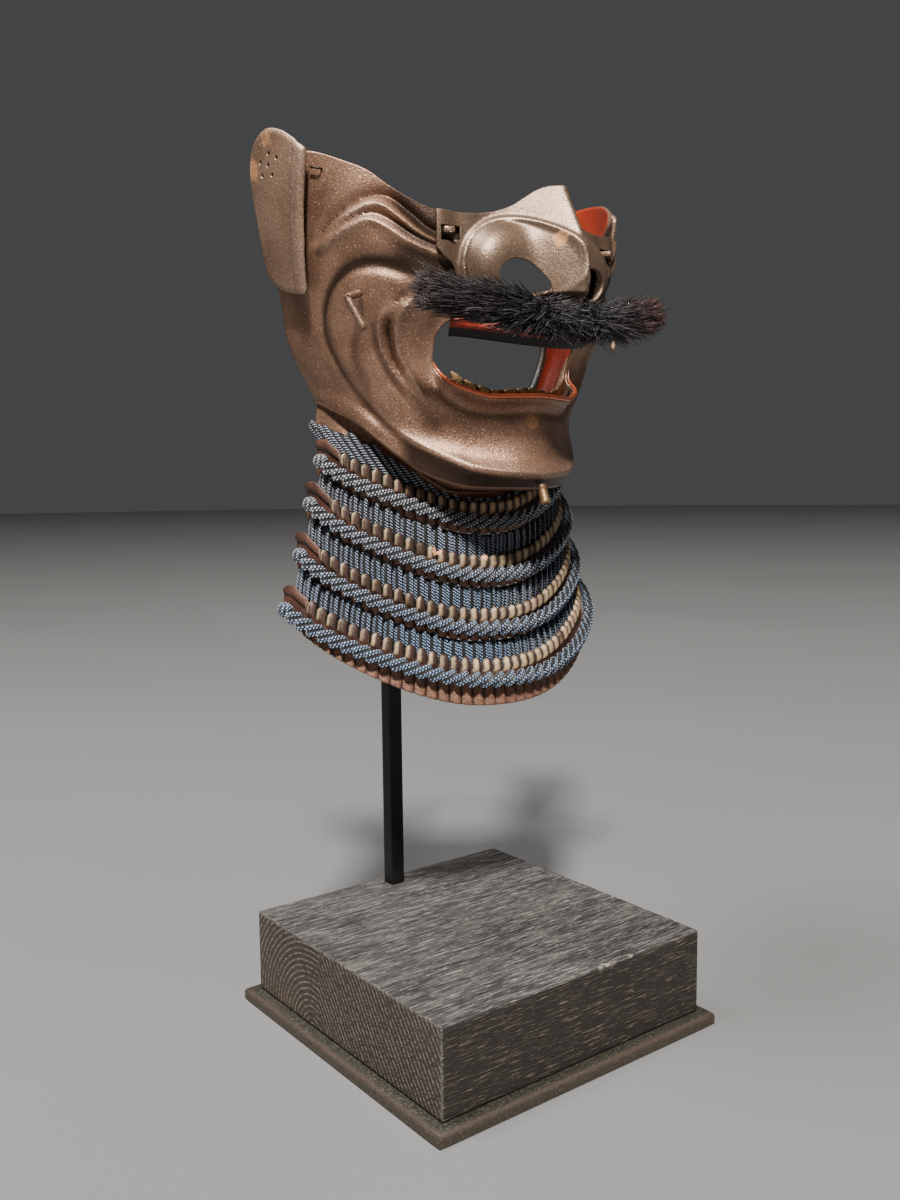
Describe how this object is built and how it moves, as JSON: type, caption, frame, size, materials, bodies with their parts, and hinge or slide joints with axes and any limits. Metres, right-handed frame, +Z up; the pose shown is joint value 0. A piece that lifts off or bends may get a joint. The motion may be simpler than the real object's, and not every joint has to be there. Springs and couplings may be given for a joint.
{
  "type": "samurai face guard on display stand",
  "caption": "Laced iron half mask for the lower face with detachable nose, bristle moustache and hanging throat guard, held by a post on a square wooden block.",
  "frame": {"origin": "centre of the underside of the stand's plinth", "axes": "+Z up; the mask looks along -Y; +X is towards the wearer's left"},
  "size_m": [0.1853, 0.162, 0.3964],
  "materials": {
    "russet_iron": "fine grained rust brown lacquer on iron",
    "nose_iron": "the same, worn paler",
    "red_lacquer": "glossy vermilion lacquer",
    "gilt": "dull gilt",
    "bristle": "black bristle",
    "blue_lace": "woven silk braid",
    "lacquered_lame": "brown lacquer, worn to gold at the heads",
    "dark_iron": "forged iron",
    "dark_oak": "blackened open-grained oak",
    "plinth": "speckled bronze-brown paint",
    "black_steel": "black"
  },
  "bodies": {
    "root": {"mask_body": "russet_iron", "nose_piece": "nose_iron", "upper_lip": "red_lacquer", "lower_teeth": "gilt", "moustache": "bristle", "ear_plate_right": "russet_iron", "nose_peg_right": "dark_iron", "cord_hook_right": "dark_iron", "ear_plate_left": "russet_iron", "nose_peg_left": "dark_iron", "cord_hook_left": "dark_iron", "wire_end_right": "dark_iron", "sweat_drain": "gilt", "neck_lace": "blue_lace", "lame_1": "lacquered_lame", "rope_row_1": "blue_lace", "lame_2": "lacquered_lame", "rope_row_2": "blue_lace", "lace_band_1": "blue_lace", "lame_3": "lacquered_lame", "rope_row_3": "blue_lace", "lace_band_2": "blue_lace", "lame_4": "lacquered_lame", "rope_row_4": "blue_lace", "lace_band_3": "blue_lace", "stand_block": "dark_oak", "stand_plinth": "plinth", "stand_post": "black_steel", "holder": "black_steel"}
  },
  "joints": []
}
